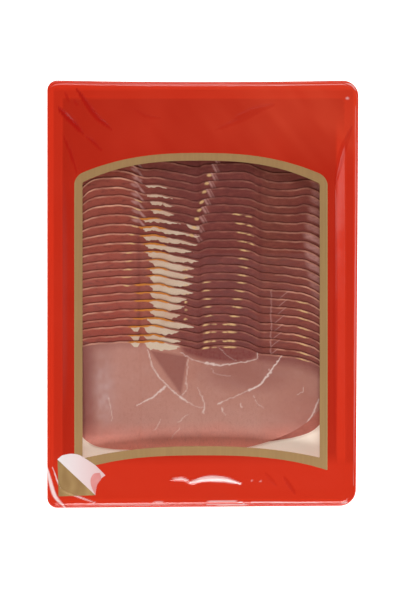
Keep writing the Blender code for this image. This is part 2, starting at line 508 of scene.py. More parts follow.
tray_rows = [
    level(pack_outline(FLANGE_EDGE_INSET), FLANGE_TOP - 0.25),
    level(pack_outline(FLANGE_EDGE_INSET + 0.08), FLANGE_TOP - 0.08),
    level(pack_outline(FLANGE_EDGE_INSET + 0.3), FLANGE_TOP),
    level(mouth_outline(0.0), FLANGE_TOP),
]
for over, down in quarter_arc(LIP_RADIUS, 4, False):
    tray_rows.append(level(mouth_outline(over), FLANGE_TOP + down))
for over, up in quarter_arc(FLOOR_RADIUS, 6, True):
    tray_rows.append(level(mouth_outline(WALL_DRAFT + LIP_RADIUS + over), TRAY_WALL + up))
for margin in FLOOR_MARGINS:
    tray_rows.append(level(mouth_outline(WALL_DRAFT + LIP_RADIUS + FLOOR_RADIUS + margin), TRAY_WALL))
maker = sheet(np.array(tray_rows), closed=True)
inner_edges = [e for e in maker.edges if e.is_boundary and e.verts[0].co.z < 0.5 * FLANGE_TOP * MM]
bmesh.ops.contextual_create(maker, geom=inner_edges)
add_piece("formed_tray", thicken(maker, TRAY_WALL), tray_finish, "tray")

# %% [markdown]
# ## The shape of a slice
# Each slice is a cut through the same piece of meat, so all of them have nearly one outline: four
# muscles side by side, each with its own bulge of the far edge and a dip at the seam to the next.
# A table of that edge for the first slices and one for the last are blended from slice to slice,
# and a wobble that changes only a little from one to the next keeps them from being copies.

# %% Outline and height of a slice
slice_random = np.random.default_rng(7)
slice_shift = slice_random.uniform(-0.35, 0.35, SLICE_COUNT) - 0.85
slice_shift[-1] = 0.0


def slice_near(number):
    return FRONT_SLICE_NEAR + (SLICE_COUNT - 1 - number) * SLICE_STEP


def bulge(across, left_fullness, right_fullness):
    """A superellipse: 1 in the middle, 0 at both ends, squarer the fuller it is."""
    fullness = np.where(across > 0.0, right_fullness, left_fullness)
    return np.maximum(0.0, 1.0 - np.abs(across) ** fullness) ** (1.0 / fullness)


def slice_middle(number, x):
    """The line that both edges run to at the ends, the place across, and the taper."""
    across = np.clip((x - SLICE_CENTRE) / SLICE_HALF_WIDTH, -1.0, 1.0)
    taper = np.maximum(0.0, (x - TAPER_START) / (SLICE_HALF_WIDTH - TAPER_START))
    lift = TAPER_LIFT * taper**3 + LEFT_LIFT * np.maximum(0.0, -across) ** 4
    return slice_near(number) + slice_shift[number] + 0.5 * SLICE_LENGTH + lift, across, taper


def rim_drop(number, x):
    """How far the far edge lies below its highest point."""
    laid = np.clip((number - RIM_CHANGES[0]) / (RIM_CHANGES[1] - RIM_CHANGES[0]), 0.0, 1.0)
    drops = (1.0 - laid) * np.array(FIRST_RIM) + laid * np.array(LAST_RIM)
    curve = smooth_line(np.column_stack([RIM_X, drops]), 400)
    return np.interp(x, curve[:, 0], curve[:, 1])


def far_edge(number, x):
    """The far edge of a slice, which is the rim that shows."""
    middle, across, _ = slice_middle(number, x)
    full = bulge(across, FAR_EDGE_FULLNESS, FAR_EDGE_FULLNESS)
    wobble = 0.34 * soft_noise(x / 6.0, 0.35 * number, 11) + 0.16 * soft_noise(x / 2.1, 1.3 * number, 12)
    top = slice_near(number) + slice_shift[number] + SLICE_LENGTH - rim_drop(number, x) + wobble
    return middle + (top - middle) * full


def near_edge(number, x):
    middle, across, taper = slice_middle(number, x)
    is_front = number == SLICE_COUNT - 1
    right_fullness = FRONT_NEAR_EDGE_FULLNESS if is_front else NEAR_EDGE_FULLNESS
    near_taper = FRONT_NEAR_EDGE_TAPER if is_front else NEAR_EDGE_TAPER
    full = bulge(across, LEFT_FULLNESS, right_fullness)
    wobble = 0.5 * soft_noise(x / 9.0, 0.4 * number, 13) * full
    return middle - 0.5 * SLICE_LENGTH * (1.0 - near_taper * taper**2) * full + wobble


def slice_height(number, y):
    """Underside of a slice: up over the near ends of those below, then level."""
    below = np.clip((y - slice_near(number)) / SLICE_STEP, 0.0, number)
    return SLICES_FLOOR + SLICE_PITCH * below


print("slices: near edges from", round(slice_near(0), 1), "to", slice_near(SLICE_COUNT - 1), "mm")

# %% [markdown]
# ## Laying a slice as a mesh
# Only the last 5 mm of most slices show, so the rows of the grid crowd there and spread out
# where the next slices cover them. The front slice is seen whole and gets even rows. The top
# rounds over at the rim, and shallow grooves follow the seams between the muscles.

# %% Rows and columns of a slice
SLICE_COLUMNS = 300
TILE_ROWS = (0.0, 0.12, 0.3, 0.5, 0.75, 1.0, 1.3, 1.6, 1.95, 2.3, 2.7, 3.1, 3.5, 3.9, 4.3, 4.7, 5.1, 5.6)
COVERED_ROWS = (6.6, 8.5, 14.0, 26.0, 42.0, 56.0, 63.0, 65.0)
FRONT_ROWS = 150
RIM_DROP = 0.16
SEAM_DEPTH = 0.22


def seam_mask(x, width):
    """1 on the seams between the muscles, fading out over a width."""
    nearest = np.min([np.abs(x - seam) for seam in SEAMS], axis=0)
    return np.exp(-((nearest / width) ** 2))


def slice_lines(number):
    """The grid of a slice, from its near edge to its far edge."""
    even = np.linspace(-1.0, 1.0, SLICE_COLUMNS + 1)
    across = 1.15 * even - 0.15 * even**3
    x = SLICE_CENTRE + SLICE_HALF_WIDTH * across
    near, far = near_edge(number, x), far_edge(number, x)
    if number == SLICE_COUNT - 1:
        from_rim = np.linspace(0.0, 1.0, FRONT_ROWS + 1) ** 1.2
    else:
        from_rim = np.array(TILE_ROWS + COVERED_ROWS) / SLICE_LENGTH
    from_rim = from_rim[::-1, None]
    y = far - (far - near) * from_rim
    x = np.broadcast_to(x, y.shape)
    rim = far - y
    relief = 0.07 * soft_noise(x / 5.0, y / 5.0, 21) + 0.04 * soft_noise(x / 1.6, y / 1.6, 22)
    relief = relief - SEAM_DEPTH * seam_mask(x, 1.2) - 0.1 * np.exp(-(y - near) / 0.4)
    relief = relief - RIM_DROP * np.exp(-rim / 0.3)
    z = slice_height(number, y) + SLICE_THICKNESS + relief
    return np.stack([x, y, z], axis=2)


print("slice grid:", SLICE_COLUMNS, "columns,", len(TILE_ROWS + COVERED_ROWS), "rows")

# %% [markdown]
# ## Painting the slices
# Fat, rind fringe, tendons and veins are looks, so they live in the material. Where they lie
# depends on the distance from the rim and on which slice it is, and that is easy to say with
# numbers on the vertices. Each function below gives a soft mask between 0 and 1; the material
# sharpens the masks with fine noise, so their edges come out crisp and ragged.


# %% Soft masks
def soft_step(value, width):
    """0 below, 1 above, with a ramp of this width round zero."""
    return np.clip(value / width + 0.5, 0.0, 1.0)


def band(value, low, high, width=0.3):
    return soft_step(value - low, width) * soft_step(high - value, width)


def spot(x, y, centre_x, centre_y, half_x, half_y):
    """An ellipse, 1 in its middle, that fades out just past its edge."""
    radius = np.hypot((x - centre_x) / half_x, (y - centre_y) / half_y)
    return np.clip(1.8 - 1.3 * radius, 0.0, 1.0)


def between(number, first, last):
    return first <= number <= last


print("soft step at -1, 0 and 1:", soft_step(np.array([-1.0, 0.0, 1.0]), 1.0))

# %% Fat pocket of a slice
FAT_BY_SLICE = (4, 5, 6, 8, 9, 10, 11, 12, 13, 14, 17, 18, 20, 21, 22, 24)
FAT_LEFT = (-33.8, -33.8, -33.2, -30.9, -36.1, -36.7, -36.1, -34.4,
            -33.8, -32.1, -32.6, -32.1, -32.1, -33.2, -35.6, -35.6)
FAT_RIGHT = (-24.0, -20.4, -17.5, -15.7, -12.8, -1.7, -2.3, -5.2,
             -2.5, -4.6, -5.2, -8.7, -12.8, -5.2, -13.4, -12.8)
FAT_DEPTH = (0.0, 1.2, 1.7, 2.2, 2.2, 2.5, 2.9, 3.3, 4.4, 4.9, 5.0, 5.0, 5.0, 5.0, 5.0, 5.0)
FIRST_FAT_SLICE = 5
FIRST_WHOLE_FAT = 9
LONG_FRINGE_SLICE = 17
LUMP_SLICE = 22


def fat_masks(number, x, rim):
    """The fat pocket, and the orange fringe along its top."""
    left = np.interp(number, FAT_BY_SLICE, FAT_LEFT)
    right = np.interp(number, FAT_BY_SLICE, FAT_RIGHT)
    depth = np.interp(number, FAT_BY_SLICE, FAT_DEPTH)
    share = np.clip((x - left) / (right - left), 0.0, 1.0)
    ragged = 0.45 * soft_noise(x / 2.2, rim / 1.5 + 3.0 * number, 31)
    ragged = ragged + 0.2 * soft_noise(x / 0.7, 4.0 * number, 34)
    top = 0.55 + 0.5 * share**2 + 0.35 * ragged
    bottom = top + depth * (1.0 - share**3) + ragged
    left_edge = left + 0.9 * rim + 0.7 * soft_noise(rim / 0.8, 2.0 * number, 32)
    inside = np.minimum(np.minimum(rim - top, bottom - rim), 0.6 * (x - left_edge))
    fat = soft_step(np.minimum(inside, 0.6 * (right - x)), 0.5)
    if number < FIRST_WHOLE_FAT:
        fat = fat * soft_step(0.55 + soft_noise(x / 2.6, 1.9 * number, 35), 0.6)
    if number < FIRST_FAT_SLICE:
        fat = np.zeros_like(x)
    if number == FIRST_WHOLE_FAT:
        fat = np.maximum(fat, band(x, -10.5 + rim, -2.0, 1.0) * band(rim, 0.6, 2.6, 0.5))
    if number >= LUMP_SLICE:
        lump = band(x, -43.2 + 0.9 * rim, -36.3 - 0.5 * rim, 0.8) * band(rim, 0.5, 3.4)
        fat = np.maximum(fat, lump)
        fat = fat * (1.0 - band(x, -36.4, -35.4, 0.8))
    is_long = number >= LONG_FRINGE_SLICE
    reach_left = left - (7.0 if is_long else 0.0)
    reach_right = left + (0.55 if is_long else 0.42) * (right - left)
    thick = 0.7 + 0.4 * soft_noise(x / 1.8, 1.7 * number, 33)
    fringe = band(rim, 0.05, 0.25 + thick, 0.3) * band(x, reach_left, reach_right, 3.0)
    strength = np.interp(number, (7, 9, 12, 14, 17, 19), (0.0, 1.2, 1.0, 0.7, 0.9, 1.3))
    return fat, np.clip(strength * fringe, 0.0, 1.0)


print("fat pockets: slices", FIRST_FAT_SLICE, "to", SLICE_COUNT - 1)

# %% Cream dashes, where small fat veins reach the rim
def dash_mask(number, x, rim):
    """Short cream dashes that wander from slice to slice."""
    jitter = np.random.default_rng(100 + number).uniform(-1.0, 1.0, 12)
    dashes = np.zeros_like(x)

    def dash(centre, half, low=0.75, thick=0.5):
        nonlocal dashes
        uneven = 0.75 + 0.45 * soft_noise(x / 1.1, 3.1 * number, 36)
        dashes = np.maximum(dashes, uneven * spot(x, rim, centre, low, half, 0.75 * thick))

    if between(number, 7, 17):
        dash(np.interp(number, (7, 13, 18), (-38.0, -42.8, -45.4)) + 0.4 * jitter[0], 2.2 + 0.5 * jitter[1])
    if between(number, 8, 20):
        dash(np.interp(number, (8, 12, 14, 20), (20.5, 24.0, 24.0, 18.8)) + 0.5 * jitter[2], 2.6, 0.8, 0.55)
    if between(number, 8, 11):
        dash(np.interp(number, (8, 11), (27.0, 28.0)) + 0.5 * jitter[3], 1.8, 1.2, 0.55)
    if between(number, 21, 24):
        dash(16.5 + 0.6 * jitter[4], 2.6, 1.0, 0.75)
        dash(12.8 + 0.5 * jitter[5], 1.5, 1.2, 0.5)
        dash(2.0 + 0.6 * jitter[6], 1.9, 1.1, 0.7)
        dash(6.6 + 0.5 * jitter[7], 1.4, 1.2, 0.55)
    if between(number, 16, 20):
        dash(2.6 + jitter[8], 2.2, 1.0, 0.42)
    if between(number, 17, 24):
        dash(58.3 + 0.6 * jitter[9], 3.4, 0.8, 0.5)
    if between(number, 14, 20):
        dash(-9.4 + 0.5 * jitter[10], 0.8, 2.6, 0.5)
        dash(-10.6 + 0.5 * jitter[11], 0.5, 3.3, 0.5)
    return dashes


# %% Pale tendons and seams
def pale_mask(number, x, rim):
    """Greyish pink connective tissue between the muscles, and the pale right end."""
    jitter = np.random.default_rng(200 + number).uniform(-1.0, 1.0, 6)
    pale = np.zeros_like(x)
    if between(number, 1, 9):
        seam = -41.5 + 1.0 * rim + 0.4 * jitter[0] + 0.3 * number
        pale = np.maximum(pale, soft_step(0.9 - np.abs(x - seam), 0.8) * soft_step(5.0 - rim, 1.0))
        pale = np.maximum(pale, 0.8 * spot(x, rim, -39.0 + jitter[1], 2.4, 2.6, 0.9))
    if between(number, 0, 10):
        tendon = np.interp(number, (0, 3, 10), (6.5, 5.0, -4.5)) + 0.5 * rim
        strand = soft_step(0.55 - np.abs(x - tendon), 0.6)
        second_strand = 0.7 * soft_step(0.3 - np.abs(x - tendon - 1.6), 0.5)
        pale = np.maximum(pale, strand + second_strand)
    if between(number, 16, 23):
        branch = 44.0 - 1.1 * rim + 0.9 * (23 - number)
        stem = 39.8 + 0.5 * soft_noise(rim / 1.5, 1.1 * number, 37)
        pale = np.maximum(pale, 0.7 * soft_step(0.3 - np.abs(x - stem), 0.4))
        pale = np.maximum(pale, 0.7 * soft_step(0.3 - np.abs(x - branch), 0.4))
    edge = np.interp(number, (1, 4, 9, 12, 15, 18), (64.0, 63.5, 58.5, 60.0, 63.0, 66.0))
    patch = soft_step(x - edge - 0.3 * rim, 3.0) * band(rim, 0.9, 4.0, 0.8)
    strength = np.interp(number, (0, 2, 8, 9, 12, 15, 18), (0.1, 0.3, 0.4, 0.65, 0.5, 0.25, 0.0))
    return np.clip(np.maximum(pale, patch * strength), 0.0, 1.0)


def tendon_dots(number, x, rim):
    """Yellow beads beside the tendon in the first slices."""
    if not between(number, 3, 10):
        return np.zeros_like(x)
    centre = np.interp(number, (0, 3, 10), (6.5, 3.8, -6.5))
    return spot(x, rim, centre, 1.3, 1.2, 0.8)


print("masks: fat, fringe, dash, pale and tendon dots")

# %% [markdown]
# ## The front slice
# The front slice is seen from above, and its veins are its character: thin white lines that part
# the muscles, thicker where two meet. They are drawn as routes, each with a width at its start
# and its end, and a mask falls off from the route. Two muscles are darker than the rest.

# %% Veins of the front slice: route in millimetres, width at the start, at the end, strength
VEINS = (
    (((-32.1, -32.6), (-28.7, -44.0), (-22.4, -51.9), (-14.2, -59.5), (-8.8, -63.0)), 0.45, 0.6, 0.8),
    (((-13.5, -59.9), (-11.4, -61.4), (-8.8, -63.0)), 1.0, 0.5, 0.9),
    (((-8.8, -63.0), (-4.0, -65.6), (0.9, -66.3)), 0.45, 0.35, 0.45),
    (((-8.4, -37.3), (-9.9, -49.9), (-9.2, -55.5), (-11.7, -58.9)), 0.4, 0.5, 0.5),
    (((-21.9, -54.2), (-28.2, -59.1), (-33.5, -62.5), (-38.8, -65.3)), 1.0, 0.4, 0.85),
    (((-12.8, -33.8), (-6.9, -37.8), (1.8, -40.4), (7.0, -41.6)), 0.4, 0.5, 0.6),
    (((1.8, -40.2), (6.5, -41.0)), 1.1, 0.8, 0.9),
    (((6.5, -41.3), (12.3, -41.4), (26.0, -39.4)), 0.7, 0.4, 0.8),
    (((26.0, -39.4), (31.4, -37.6), (31.6, -33.0), (30.0, -29.5)), 0.45, 0.4, 0.6),
    (((46.0, -36.0), (43.0, -40.2), (38.1, -47.0), (32.8, -53.3), (26.9, -56.2)), 0.5, 1.1, 0.95),
    (((38.6, -43.6), (39.7, -46.2)), 0.3, 0.7, 0.8),
    (((26.9, -56.2), (17.3, -60.5), (10.5, -63.2)), 0.45, 0.4, 0.5),
    (((11.5, -62.8), (8.8, -64.4)), 0.7, 0.5, 0.8),
    (((-3.2, -54.5), (-1.0, -59.4), (0.6, -63.0), (0.9, -66.3), (0.2, -69.4)), 0.3, 0.8, 0.6),
    (((11.0, -66.6), (11.8, -69.0), (13.5, -71.1)), 0.6, 0.3, 0.6),
    (((29.8, -59.5), (31.6, -63.4), (35.7, -66.8)), 0.4, 0.3, 0.5),
    (((21.8, -64.1), (22.9, -66.2)), 0.6, 0.5, 0.6),
    (((59.0, -54.0), (58.4, -57.0), (55.0, -58.6)), 0.3, 0.35, 0.5),
    (((-9.0, -70.6), (-12.4, -73.2), (-14.7, -75.0)), 0.4, 0.5, 0.55),
    (((-13.4, -78.4), (-16.6, -81.5), (-18.0, -84.4)), 0.3, 0.4, 0.45),
    (((-24.6, -73.6), (-26.4, -76.9), (-29.1, -79.9)), 0.5, 0.3, 0.5),
    (((-55.4, -60.5), (-53.8, -67.6), (-53.2, -74.1)), 0.4, 0.4, 0.45),
    (((67.5, -61.6), (64.8, -69.3), (60.4, -76.4)), 0.7, 0.9, 0.7),
    (((4.6, -43.0), (6.8, -46.0), (11.5, -47.3), (16.0, -47.9)), 0.35, 0.25, 0.35),
    (((9.6, -31.0), (13.5, -35.6), (19.5, -38.8)), 0.3, 0.25, 0.35),
)
VEIN_SCALE = 0.62
DARK_TRIANGLE = ((-31.1, -32.6), (-9.0, -36.3), (-12.8, -59.0))
DARK_MUSCLE = ((-7.0, -30.5), (4.0, -33.5), (16.0, -34.5), (27.0, -33.5))


def inside_triangle(x, y, corners):
    """How far inside a triangle each point is, in millimetres."""
    depth = np.full(np.shape(x), 1e6)
    for start, end in zip(corners, corners[1:] + corners[:1]):
        along = np.array(end) - np.array(start)
        along = along / np.hypot(*along)
        depth = np.minimum(depth, (x - start[0]) * along[1] - (y - start[1]) * along[0])
    return depth


def vein_mask(x, y):
    """White veins along their routes."""
    veins = np.zeros_like(x)
    wander_x = x + 0.4 * soft_noise(x / 1.3, y / 1.3, 41)
    wander_y = y + 0.4 * soft_noise(x / 1.3, y / 1.3, 42)
    for route, start_width, end_width, strength in VEINS:
        distance, travelled = route_distance(wander_x, wander_y, route)
        width = start_width + (end_width - start_width) * travelled
        veins = np.maximum(veins, strength * np.clip(1.4 - distance / (VEIN_SCALE * width), 0.0, 1.0))
    return veins


def front_masks(x, y, rim):
    """The darker muscles of the front slice, darker rims, painted shade at its left end and near right, and
    a painted sheen at its left.
    """
    dark = 0.62 * soft_step(inside_triangle(x, y, DARK_TRIANGLE), 1.6)
    distance, _ = route_distance(x, y, DARK_MUSCLE)
    dark = np.maximum(dark, soft_step(5.6 - distance, 4.0))
    # darker along the rims; painted shade at the left end and at the near right
    right_rim = soft_step(x - 26.0, 12.0) * soft_step(6.0 - rim, 7.0)
    left_rim = 0.45 * soft_step(-35.0 - x, 10.0) * soft_step(3.0 - rim, 5.0)
    left_end = 0.8 * soft_step(-65.5 - x, 9.0) * soft_step(y + 84.0, 20.0)
    near_right = 0.38 * spot(x, y, 26.0, -46.0, 24.0, 10.0)
    for part in (0.8 * right_rim, left_rim, left_end, near_right):
        dark = np.maximum(dark, part)
    # painted sheen: a pale patch at the left, where the film reflects
    painted_sheen = np.exp(-(((x + 58.0) / 6.0) ** 2) - ((y + 57.0) / 17.0) ** 2)
    painted_sheen = 0.9 * painted_sheen * (0.8 + 0.4 * soft_noise(x / 2.0, y / 3.0, 43))
    return dark, np.clip(painted_sheen, 0.0, 1.0)


print("front slice:", len(VEINS), "veins")

# %% [markdown]
# ## The finish of the ham
# Raw cured ham changes colour from muscle to muscle: pinkish brown at the left, maroon in the
# middle, orange brown at the right. A colour ramp across the pack gives those columns, and two of
# them, one for the far slices and one for the near ones, let the pile warm up towards the front.
# The masks from the vertices then lay rims, tendons, fat, fringe and shadow lines over it.

# %% Ham finish
RAMP_START, RAMP_SPAN = -0.076, 0.150
FAR_COLUMNS = ((-68, (150, 70, 56)), (-48, (146, 65, 50)), (-38, (132, 60, 49)), (-20, (109, 48, 42)),
               (4, (110, 47, 43)), (28, (108, 45, 40)), (36, (110, 50, 38)), (56, (112, 46, 35)),
               (64, (116, 52, 41)))
NEAR_COLUMNS = ((-68, (150, 62, 46)), (-50, (150, 59, 43)), (-34, (156, 76, 58)), (-12, (118, 49, 41)),
                (4, (110, 43, 38)), (28, (108, 41, 36)), (36, (118, 47, 35)), (54, (122, 47, 34)),
                (66, (122, 48, 36)))
CREAM = shade(200, 176, 153)
FRINGE = shade(190, 112, 38)
PALE = shade(178, 128, 120)
PALE_RIM_HIGHLIGHT = shade(212, 150, 124)
PAINTED_SHADE_RED = shade(98, 32, 28)
MARBLED = shade(146, 72, 60)
DEEP_MEAT = shade(92, 36, 33)
DASH_CREAM = shade(206, 164, 112)
TORN_FAT = shade(178, 128, 104)
FAT_SHADOW = shade(138, 70, 32)
PAINTED_LIGHT_PINK = shade(214, 122, 100)


def column_stops(columns):
    return [((x * MM - RAMP_START) / RAMP_SPAN, shade(*colour)) for x, colour in columns]


def ham_finish():
    """The finish of the slices: columns of colour, then the painted masks."""
    ham = Finish("laid_ham", {"Specular IOR Level": 0.2})
    place = ham.place()
    fibre = ham.noise(ham.stretched(place, (0.4, 1.0, 1.0)), 620.0, 3.0, 0.55)
    blotch = ham.noise(ham.stretched(place, (1.0, 1.8, 1.0)), 70.0, 2.0, 0.5)
    wander = (ham.noise(place, 60.0, 2.0) - 0.5) * 0.012
    across = (ham.axis(place, "X") + wander - RAMP_START) / RAMP_SPAN
    far_tone = ham.node("ShaderNodeValToRGB", {"stops": column_stops(FAR_COLUMNS)}, {0: across})
    near_tone = ham.node("ShaderNodeValToRGB", {"stops": column_stops(NEAR_COLUMNS)}, {0: across})
    along = ((0.040 - ham.axis(place, "Y")) / 0.060).clamped()
    tone = ham.mix(along, far_tone, near_tone)
    tone = ham.mix((blotch - 0.46) * 0.9, tone, MARBLED)
    tone = ham.mix((fibre - 0.52) * 1.8, tone, MARBLED)
    tone = ham.mix((0.5 - fibre) * 2.4, tone, DEEP_MEAT)
    # painted light: the near corner of the tiles, in the shade of the frame, is made paler pink
    painted_corner_light = ((-0.060 - ham.axis(place, "Y")) / 0.006).clamped()
    tone = ham.mix(painted_corner_light, tone, PAINTED_LIGHT_PINK)
    ragged = (fibre - 0.5) * 1.1
    tone = ham.mix((ham.attribute("pale") * (1.0 + ragged * 1.6)).clamped(), tone, PALE)
    tone = ham.mix((ham.attribute("rim") * (1.0 + ragged)).clamped(), tone, PALE_RIM_HIGHLIGHT)
    # painted shade: dark lines and hollows between the slices
    tone = ham.mix((ham.attribute("painted_shade") * (1.0 + ragged * 0.8)).clamped(), tone, PAINTED_SHADE_RED)
    fat = ((ham.attribute("fat") - 0.5 + ragged * 0.5) * 4.0 + 0.5).clamped()
    tone = ham.mix(fat, tone, ham.mix((blotch - 0.3) * 1.3, CREAM, TORN_FAT))
    tone = ham.mix((ham.attribute("fat_line") * (1.1 + ragged)).clamped(), tone, FAT_SHADOW)
    tone = ham.mix((ham.attribute("dash") * (1.2 + ragged * 1.5)).clamped(), tone, DASH_CREAM)
    tone = ham.mix((ham.attribute("fringe") * (1.3 + ragged * 1.6)).clamped(), tone, FRINGE)
    ham.feed({"Base Color": tone, "Roughness": 0.5 + (fibre - 0.5) * 0.2})
    ham.feed({"Normal": ham.bump(fibre + blotch * 0.6, 0.3, 0.00025)})
    return ham


tile_ham = ham_finish()
print("ham: far columns", len(FAR_COLUMNS), "near columns", len(NEAR_COLUMNS))

# %% Finish of the front slice
FRONT_FAR_TONE = ((-68, (154, 98, 86)), (-52, (177, 122, 108)), (-20, (171, 113, 97)), (6, (165, 107, 91)),
                  (34, (165, 109, 94)), (60, (159, 103, 88)))
FRONT_NEAR_TONE = ((-68, (156, 94, 80)), (-52, (172, 115, 101)), (-10, (178, 125, 110)),
                   (30, (177, 122, 107)), (60, (167, 104, 90)))
PAINTED_EDGE_LIGHT = shade(206, 122, 105)
PAINTED_EDGE_HIGHLIGHT = shade(226, 150, 132)
PAINTED_EDGE_GLOW = shade(204, 112, 92)
FRONT_FAT_GRAIN = shade(186, 138, 126)
FRONT_DEEP_GRAIN = shade(136, 78, 68)
PAINTED_SHEEN = shade(182, 142, 136)
DARK_MEAT_AND_SHADE = shade(112, 38, 34)
VEIN_WHITE = shade(212, 184, 174)
BLACK = shade(0, 0, 0)


def front_finish():
    """The whole front slice: paler, with dark muscles, a soft grain and white veins."""
    ham = Finish("front_ham", {"Specular IOR Level": 0.2})
    place = ham.place()
    grain = ham.noise(ham.stretched(place, (1.0, 0.45, 1.0)), 900.0, 3.0, 0.6)
    blotch = ham.noise(place, 70.0, 3.0, 0.55)
    wander = (ham.noise(place, 50.0, 2.0) - 0.5) * 0.016
    across = (ham.axis(place, "X") + wander - RAMP_START) / RAMP_SPAN
    far_tone = ham.node("ShaderNodeValToRGB", {"stops": column_stops(FRONT_FAR_TONE)}, {0: across})
    near_tone = ham.node("ShaderNodeValToRGB", {"stops": column_stops(FRONT_NEAR_TONE)}, {0: across})
    along = ((-0.045 - ham.axis(place, "Y")) / 0.030).clamped()
    tone = ham.mix(along, far_tone, near_tone)
    # painted light: the near band and edge of the front slice are made paler, against the shade of the
    # frame
    lower = ((-0.0745 + wander * 0.4 - ham.axis(place, "Y")) / 0.012).clamped()
    tone = ham.mix(lower * 0.85, tone, PAINTED_EDGE_LIGHT)
    lit_edge = ((-0.0815 + wander * 0.3 - ham.axis(place, "Y")) / 0.007).clamped()
    tone = ham.mix(lit_edge * 0.8, tone, PAINTED_EDGE_HIGHLIGHT)
    # painted glow: a faint emission lights the thin near edge, which lies in the shade of the printed frame
    painted_glow = ham.mix(lit_edge, BLACK, PAINTED_EDGE_GLOW)
    ham.feed({"Emission Color": painted_glow, "Emission Strength": 0.13})
    tone = ham.mix((blotch - 0.45) * 1.0, tone, FRONT_FAT_GRAIN)
    tone = ham.mix((0.5 - grain) * 1.1, tone, FRONT_DEEP_GRAIN)
    tone = ham.mix(ham.attribute("painted_sheen"), tone, PAINTED_SHEEN)
    tone = ham.mix(ham.attribute("dark") * (0.7 + grain * 0.4), tone, DARK_MEAT_AND_SHADE)
    tone = ham.mix(ham.attribute("rim"), tone, PALE_RIM_HIGHLIGHT)
    ragged = (grain - 0.5) * 1.0
    fat = ((ham.attribute("fat") - 0.5 + ragged * 0.4) * 4.0 + 0.5).clamped()
    tone = ham.mix(fat, tone, CREAM)
    tone = ham.mix((ham.attribute("vein") * (1.1 + ragged)).clamped(), tone, VEIN_WHITE)
    tone = ham.mix((ham.attribute("dash") * (1.2 + ragged * 1.5)).clamped(), tone, DASH_CREAM)
    tone = ham.mix((ham.attribute("fringe") * (1.3 + ragged * 1.6)).clamped(), tone, FRINGE)
    ham.feed({"Base Color": tone, "Roughness": 0.5 + (grain - 0.5) * 0.2})
    ham.feed({"Normal": ham.bump(grain + blotch * 0.8, 0.3, 0.0002)})
    return ham


front_ham = front_finish()
print("front ham: far tones", len(FRONT_FAR_TONE), "near tones", len(FRONT_NEAR_TONE))


# %% Lay the slices
def rim_strength(number, x):
    """How strong the paler cut rim and its painted highlight are from left to right."""
    places = (-70.0, -44.0, -34.0, 0.0, 34.0, 50.0, 70.0)
    early = np.interp(x, places, (1.1, 0.95, 0.4, 0.14, 0.16, 0.25, 0.4))
    late = np.interp(x, places, (0.65, 0.5, 0.35, 0.12, 0.25, 0.6, 0.75))
    laid = np.interp(number, (6, 16), (0.0, 1.0))
    patchy = 0.7 + 0.6 * soft_noise(x / 5.0, 2.3 * number, 51)
    return (early + (late - early) * laid) * patchy * np.interp(number, (0, 2), (0.4, 1.0))


SHADED_MUSCLE = ((58.5, 52.0), (54.0, 24.0), (46.0, 4.0), (40.0, -2.0))
for number in range(SLICE_COUNT):
    is_front = number == SLICE_COUNT - 1
    finish = front_ham if is_front else tile_ham
    node = f"slice_{number + 1:02d}"
    maker = thicken(sheet(slice_lines(number)), SLICE_THICKNESS)
    piece = add_piece(f"ham_{node}", maker, finish, node)
    x, y, _ = coordinates(piece)
    rim = far_edge(number, x) - y
    fat, fringe = fat_masks(number, x, rim)
    store(piece, "fat", fat)
    store(piece, "fringe", fringe)
    store(piece, "dash", np.maximum(dash_mask(number, x, rim), 0.9 * tendon_dots(number, x, rim)))
    # the cut rim: paler meat with a painted highlight along it
    store(piece, "rim", np.clip(rim_strength(number, x) * band(rim, 0.1, 1.0, 0.4), 0.0, 1.0))
    if is_front:
        dark, painted_sheen = front_masks(x, y, rim)
        store(piece, "vein", vein_mask(x, y))
        store(piece, "dark", dark)
        store(piece, "painted_sheen", painted_sheen)
    else:
        # painted shadow: a thin dark line just beyond the next slice's rim, also across the fat, shade that
        # deepens towards it, darker seams and a shaded band over the right muscle
        to_cover = far_edge(number, x) - far_edge(number + 1, x) - rim
        line = np.clip(1.0 - (to_cover - 0.2) / 0.8, 0.0, 1.0)
        shade_down = 0.25 * np.clip(1.0 - to_cover / 4.0, 0.0, 1.0)
        distance, _ = route_distance(x, y, SHADED_MUSCLE)
        painted_shading = 0.28 * soft_step(4.0 - distance, 5.0)
        wide_fat = np.clip(fat * 2.0, 0.0, 1.0)
        line = line * np.interp(x, (-34.0, -20.0, 30.0, 44.0), (1.0, 0.55, 0.55, 1.0))
        store(piece, "painted_shade", np.maximum(0.5 * line, shade_down) + 0.3 * seam_mask(x, 1.3) + painted_shading)
        store(piece, "fat_line", 0.9 * line * wide_fat)
        store(piece, "pale", pale_mask(number, x, rim))

# %% [markdown]
# ## The film over the pile
# The film is welded flat to the flange and pulled tight over the pile, so it rises from the mouth
# of the tray to a plateau. On top of that come the things that make it look like film: a lip
# turned down over the edge of the tray, long shallow waves, and sharp folds that run out of
# the corners. One function gives its height everywhere, so that the pieces cut from it meet.


# %% Height of the film
def ease(value, start, end):
    """From 0 at start to 1 at end, fast at first, level when it arrives."""
    return np.sin(0.5 * np.pi * np.clip((value - start) / (end - start), 0.0, 1.0))


def film_rise(x, y):
    across = ease(x, MOUTH["left"], CREST["left"]) * ease(x, MOUTH["right"], CREST["right"])
    along = ease(y, MOUTH["near"], CREST["near"]) * ease(y, MOUTH["far"], CREST["far"])
    return FILM_RISE * across * along


